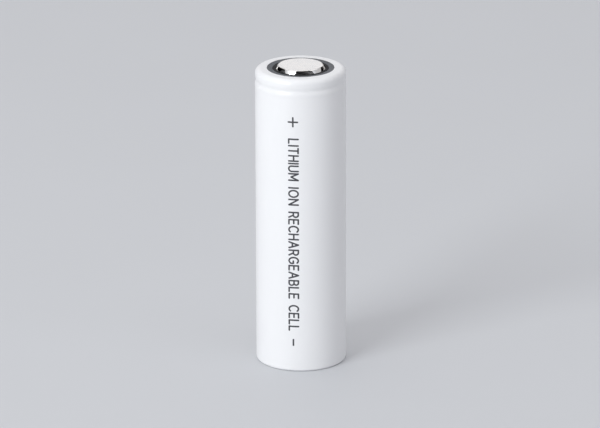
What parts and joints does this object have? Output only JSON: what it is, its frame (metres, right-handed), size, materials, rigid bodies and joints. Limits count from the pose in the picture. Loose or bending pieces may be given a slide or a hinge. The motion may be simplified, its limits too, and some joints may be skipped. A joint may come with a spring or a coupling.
{
  "type": "cylindrical lithium-ion cell",
  "caption": "Upright cylindrical rechargeable cell in a white shrink sleeve, with a raised vented cap, a dark insulating washer and a rolled bead below its shoulder.",
  "frame": {"origin": "centre of the foot circle, on the plane the cell stands on", "axes": "+Z along the cell from its negative end to its positive cap; -Y is the side with the printed line"},
  "size_m": [0.021, 0.021, 0.0715],
  "materials": {
    "sleeve_film": "satin white shrink film",
    "can_steel": "nickel-plated, satin",
    "washer_fibre": "dark grey pressed fibre, matte",
    "gasket_plastic": "black moulded plastic, matte",
    "cap_nickel": "bright nickel plate",
    "disc_aluminium": "pressed, satin",
    "insulator_plastic": "natural sheet plastic",
    "pin_steel": "rolled strip",
    "separator_film": "white film",
    "copper_foil": "bare copper",
    "anode_graphite": "pressed graphite coat",
    "aluminium_foil": "bare foil",
    "cathode_oxide": "pressed oxide coat",
    "tape_film": "amber adhesive film",
    "aluminium_tab": "rolled strip",
    "nickel_tab": "rolled nickel strip"
  },
  "bodies": {
    "root": {"sleeve": "sleeve_film", "can": "can_steel", "top_washer": "washer_fibre", "sealing_gasket": "gasket_plastic", "positive_cap": "cap_nickel", "vent_disc": "disc_aluminium", "cid_insulator": "insulator_plastic", "cid_plate": "disc_aluminium", "upper_insulator": "insulator_plastic", "lower_insulator": "insulator_plastic", "center_pin": "pin_steel", "inner_separator": "separator_film", "outer_separator": "separator_film", "anode_foil": "copper_foil", "anode_coating": "anode_graphite", "cathode_foil": "aluminium_foil", "cathode_coating": "cathode_oxide", "closing_tapes": "tape_film", "cathode_tab": "aluminium_tab", "cathode_tab_tape": "tape_film", "anode_tab": "nickel_tab", "anode_tab_tape": "tape_film"}
  },
  "joints": []
}
